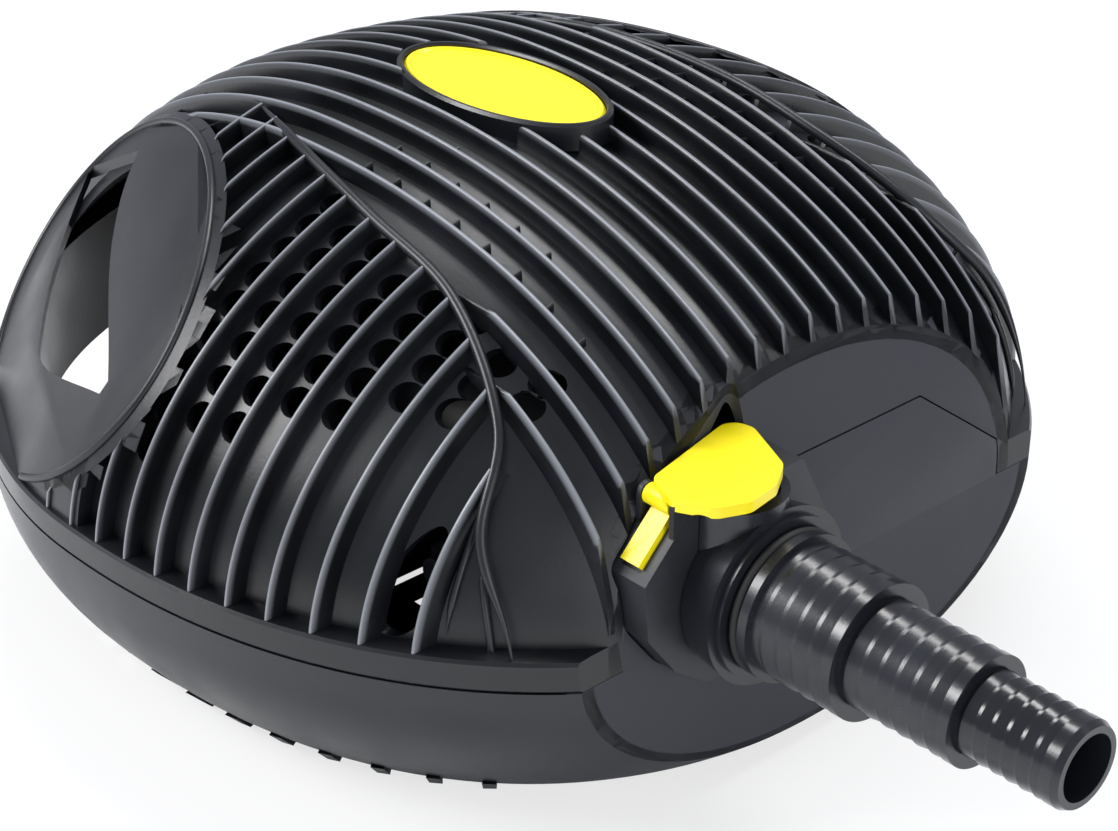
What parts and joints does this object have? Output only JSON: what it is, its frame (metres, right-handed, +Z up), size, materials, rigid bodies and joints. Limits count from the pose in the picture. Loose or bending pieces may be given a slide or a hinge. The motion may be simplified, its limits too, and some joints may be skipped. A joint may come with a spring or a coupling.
{
  "type": "pond pump",
  "caption": "Submersible pond pump with a domed ribbed strainer cage, bowl base, rear grips, stepped hose tail, rocking release lever and a complete magnet-rotor pump inside.",
  "frame": {"origin": "centre of the footprint's bounding box, on the ground under the feet", "axes": "+X towards the outlet, +Y away from the outlet's side of the body, +Z up"},
  "size_m": [0.4398, 0.3286, 0.1675],
  "materials": {
    "cage_plastic": "satin",
    "base_plastic": "satin",
    "yellow_plastic": "satin",
    "outlet_plastic": "satin",
    "pump_plastic": "satin",
    "impeller_plastic": "satin",
    "black_rubber": "matte",
    "screw_steel": "satin",
    "core_steel": "satin",
    "coil_copper": "satin",
    "shaft_ceramic": "gloss",
    "magnet_ferrite": "matte"
  },
  "bodies": {
    "housing": {"top_cage": "cage_plastic", "base_shell": "base_plastic", "badge": "yellow_plastic", "strainer_plate": "base_plastic", "plate_screws": "screw_steel", "rubber_feet": "black_rubber", "outlet_collar": "outlet_plastic", "outlet_neck": "outlet_plastic", "neck_seal": "black_rubber", "spigot_seal": "black_rubber", "lever_pin": "screw_steel", "volute_housing": "pump_plastic", "volute_cover": "pump_plastic", "cover_seal": "black_rubber", "front_shaft_mount": "black_rubber", "ceramic_shaft": "shaft_ceramic", "rotor_well": "pump_plastic", "rear_shaft_mount": "black_rubber", "well_seal": "black_rubber", "motor_can": "pump_plastic", "stator_core": "core_steel", "stator_coils": "coil_copper", "cable_gland": "pump_plastic", "case_screws": "screw_steel", "motor_cradle": "base_plastic", "cage_latches": "pump_plastic"},
    "rotor": {"impeller": "impeller_plastic", "rotor_magnet": "magnet_ferrite", "rotor_bushes": "impeller_plastic"},
    "lever": {"release_lever": "yellow_plastic"},
    "tail": {"hose_tail": "outlet_plastic"}
  },
  "joints": [
    {"name": "rotor_spin", "type": "hinge", "parent": "housing", "child": "rotor", "pos_m": [-0.0589, -0.00575, 0.058], "axis": [0, 1, 0], "continuous": true},
    {"name": "lever_rock", "type": "hinge", "parent": "housing", "child": "lever", "pos_m": [0.0951, -0.07225, 0.1056], "axis": [1, 0, 0], "range_deg": [-4.5, 0], "stiffness_Nm_per_rad": 0.3, "springref_deg": 1.15},
    {"name": "tail_swivel", "type": "hinge", "parent": "housing", "child": "tail", "pos_m": [0.1211, -0.04735, 0.0737], "axis": [1, 0, 0], "continuous": true}
  ]
}
